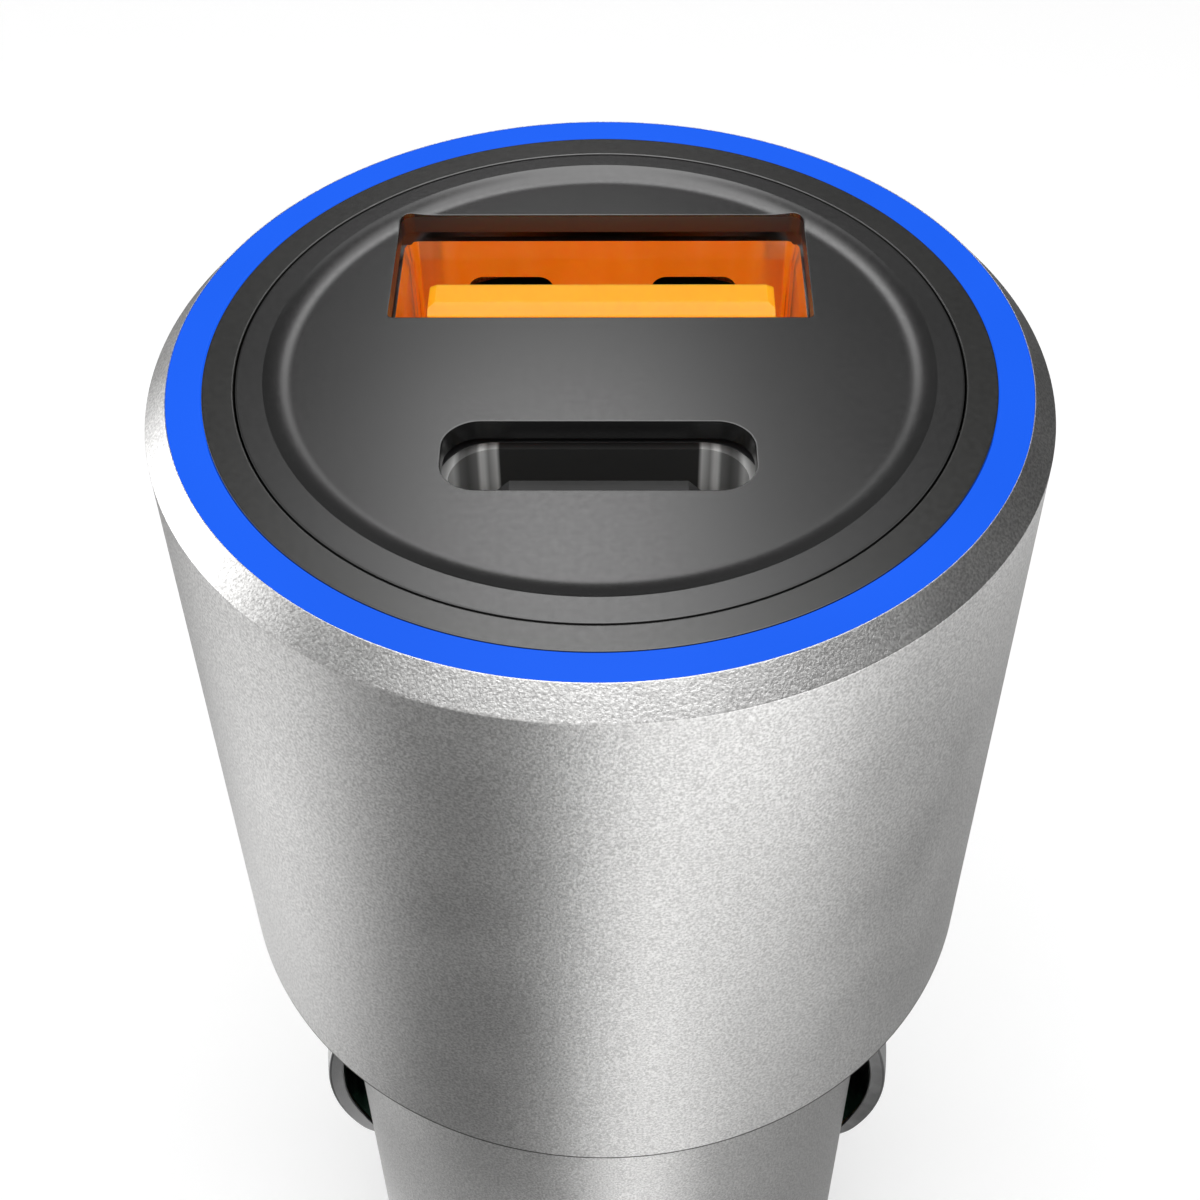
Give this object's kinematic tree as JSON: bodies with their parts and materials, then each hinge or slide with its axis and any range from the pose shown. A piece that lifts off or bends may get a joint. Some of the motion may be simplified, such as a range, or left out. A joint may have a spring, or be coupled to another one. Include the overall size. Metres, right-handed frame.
{
  "type": "car usb charger plug",
  "caption": "Round metal car socket charger plug with a USB-A and a USB-C port, a lit ring, sprung side contacts and a sprung centre tip.",
  "frame": {"origin": "centre of the head's underside, where the stem meets it and the socket's rim stops", "axes": "+Z out of the ports, the stem points to -Z, the USB-A port lies towards +Y and the USB-C port towards -Y, and the side contacts are at -X and +X"},
  "size_m": [0.0258, 0.0258, 0.0585],
  "materials": {
    "housing_metal": "fine sand-blasted and clear anodised",
    "light_ring": "clear light guide, lit blue from behind",
    "face_plastic": "black, satin",
    "port_shell": "nickel-plated sheet",
    "orange_plastic": "orange, satin",
    "black_insulator": "black moulded insulator",
    "contact_plating": "gold-plated",
    "circuit_board": "green solder mask",
    "led": "clear lens",
    "inductor_ferrite": "pressed iron powder",
    "chip_plastic": "moulded black",
    "capacitor_can": "drawn can",
    "ceramic_body": "fired ceramic with tinned ends",
    "carrier_plastic": "black moulded",
    "nose_plastic": "black, satin",
    "contact_chrome": "bright nickel-plated spring steel",
    "tip_plating": "bright nickel-plated",
    "spring_steel": "drawn wire",
    "terminal_brass": "plain, tinned where soldered"
  },
  "bodies": {
    "main": {"bezel_ring": "face_plastic", "board_link_left": "chip_plastic", "board_link_right": "chip_plastic", "ceramic_capacitor_1": "ceramic_body", "ceramic_capacitor_2": "ceramic_body", "ceramic_capacitor_3": "ceramic_body", "ceramic_capacitor_4": "ceramic_body", "contact_carrier": "carrier_plastic", "face_plate": "face_plastic", "filter_choke": "inductor_ferrite", "ground_tab": "terminal_brass", "housing": "housing_metal", "input_capacitor": "capacitor_can", "input_fuse": "chip_plastic", "led_1": "led", "led_2": "led", "led_3": "led", "led_4": "led", "led_board": "circuit_board", "light_ring": "light_ring", "main_board": "circuit_board", "nose_cap": "nose_plastic", "output_capacitor_left": "capacitor_can", "output_capacitor_right": "capacitor_can", "port_chip": "chip_plastic", "positive_terminal": "terminal_brass", "power_chip": "chip_plastic", "power_inductor_left": "inductor_ferrite", "power_inductor_right": "inductor_ferrite", "tip_spring": "spring_steel", "usb_a_contact_1": "contact_plating", "usb_a_contact_2": "contact_plating", "usb_a_contact_3": "contact_plating", "usb_a_contact_4": "contact_plating", "usb_a_insulator": "orange_plastic", "usb_a_shell": "port_shell", "usb_c_board": "circuit_board", "usb_c_contacts_far": "contact_plating", "usb_c_contacts_near": "contact_plating", "usb_c_shell": "port_shell", "usb_c_tongue": "black_insulator"},
    "tip": {"centre_tip": "tip_plating"},
    "left_side_contact": {"left_contact": "contact_chrome"},
    "right_side_contact": {"right_contact": "contact_chrome"}
  },
  "joints": [
    {"name": "tip_press", "type": "slide", "parent": "main", "child": "tip", "axis": [0, 0, 1], "range_m": [0, 0.0022], "stiffness_N_per_m": 800, "springref_m": -0.002, "deforming": ["tip_spring"]},
    {"name": "left_contact_press", "type": "slide", "parent": "main", "child": "left_side_contact", "axis": [1, 0, 0], "range_m": [0, 0.0013], "stiffness_N_per_m": 1500, "springref_m": -0.001},
    {"name": "right_contact_press", "type": "slide", "parent": "main", "child": "right_side_contact", "axis": [-1, 0, 0], "range_m": [0, 0.0013], "stiffness_N_per_m": 1500, "springref_m": -0.001}
  ]
}
